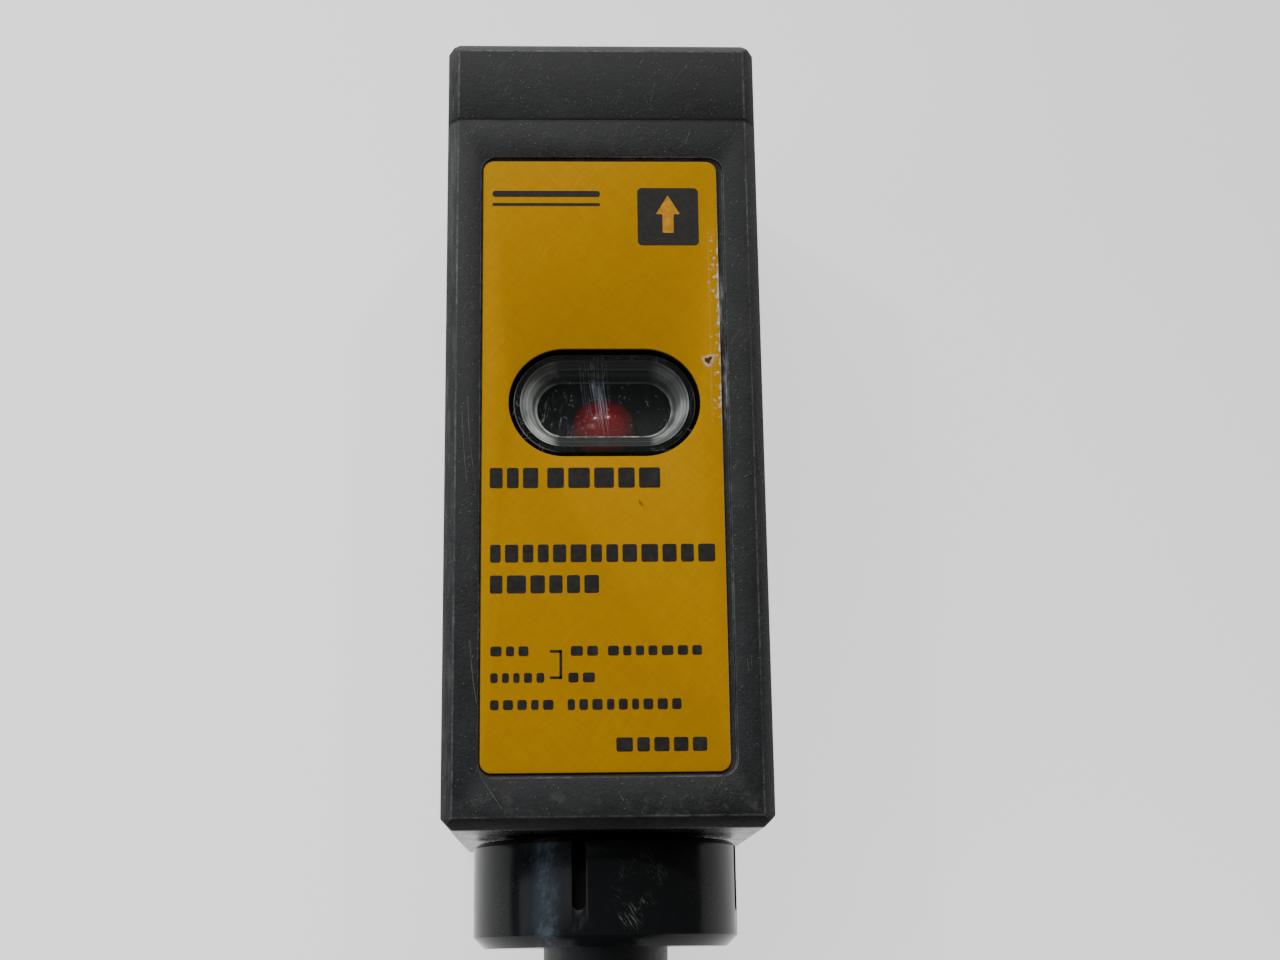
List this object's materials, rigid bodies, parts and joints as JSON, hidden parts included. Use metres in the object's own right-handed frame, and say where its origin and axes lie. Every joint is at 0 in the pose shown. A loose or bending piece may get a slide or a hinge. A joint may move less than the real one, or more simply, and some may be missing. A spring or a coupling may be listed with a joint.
{
  "type": "photoelectric sensor",
  "caption": "Slim rectangular photoelectric sensor with a lens end, an amber label with a sunk indicator window, a screwed cable gland and a tied cable.",
  "frame": {"origin": "centre of the body's flat back face", "axes": "+X across the width, +Y out of the lens end, +Z out of the label face"},
  "size_m": [0.0468, 0.21, 0.0267],
  "materials": {
    "case_plastic": "fine spark-eroded grain, satin",
    "nut_plastic": "smooth moulded nylon, scuffed",
    "inner_plastic": "plain black moulding",
    "seal_rubber": "soft black seal",
    "boot_rubber": "matt black rubber",
    "lens_smoke": "dark smoky moulded lens that passes infrared",
    "emitter_epoxy": "blue-grey clear epoxy",
    "board_mask": "glass-fibre board with dark green mask",
    "chip_black": "moulded epoxy",
    "capacitor_can": "sleeved can",
    "ceramic_tan": "fired ceramic",
    "resistor_black": "glazed film on ceramic",
    "solder": "bright solder",
    "lamp_red": "red diffused epoxy",
    "window_clear": "clear moulded window",
    "label_amber": "amber printed foil, worn at its edge",
    "sleeve_steel": "plated steel",
    "washer_steel": "plated steel",
    "cable_jacket": "black vinyl jacket",
    "wire_red": "vinyl insulation",
    "wire_black": "vinyl insulation",
    "wire_white": "vinyl insulation",
    "tie_fabric": "woven hook-and-loop strap"
  },
  "bodies": {
    "housing": {"case": "case_plastic", "lens_cap": "case_plastic", "cap_seal": "seal_rubber", "lens": "lens_smoke", "lens_gasket": "seal_rubber", "emitter_holder": "inner_plastic", "infrared_emitter": "emitter_epoxy", "main_board": "board_mask", "driver_chip": "chip_black", "output_transistor": "chip_black", "smoothing_capacitor": "capacitor_can", "ceramic_capacitors": "ceramic_tan", "resistors": "resistor_black", "protection_diodes": "chip_black", "solder_joints": "solder", "indicator_lamp": "lamp_red", "lamp_spacer": "inner_plastic", "window": "window_clear", "window_gasket": "seal_rubber", "nameplate": "label_amber", "mounting_sleeves": "sleeve_steel", "cable_bushing": "boot_rubber", "cable_core": "cable_jacket", "wire_red": "wire_red", "wire_black": "wire_black", "wire_white": "wire_white", "cable": "cable_jacket", "cable_hank": "cable_jacket", "hank_tie": "tie_fabric", "lead_red": "wire_red", "lead_black": "wire_black", "lead_white": "wire_white"},
    "gland_washer": {"gland_washer": "washer_steel"},
    "gland_nut": {"gland_nut": "nut_plastic"}
  },
  "joints": [
    {"name": "gland_travel", "type": "slide", "parent": "housing", "child": "gland_washer", "axis": [0, -1, 0], "range_m": [0, 0.004]},
    {"name": "gland_turn", "type": "hinge", "parent": "gland_washer", "child": "gland_nut", "pos_m": [0, -0.029, 0.012], "axis": [0, -1, 0], "range_deg": [0, 1440]}
  ],
  "couplings": [
    {"joint": "gland_turn", "follows": "gland_travel", "rad_per_m": 6283.2}
  ]
}
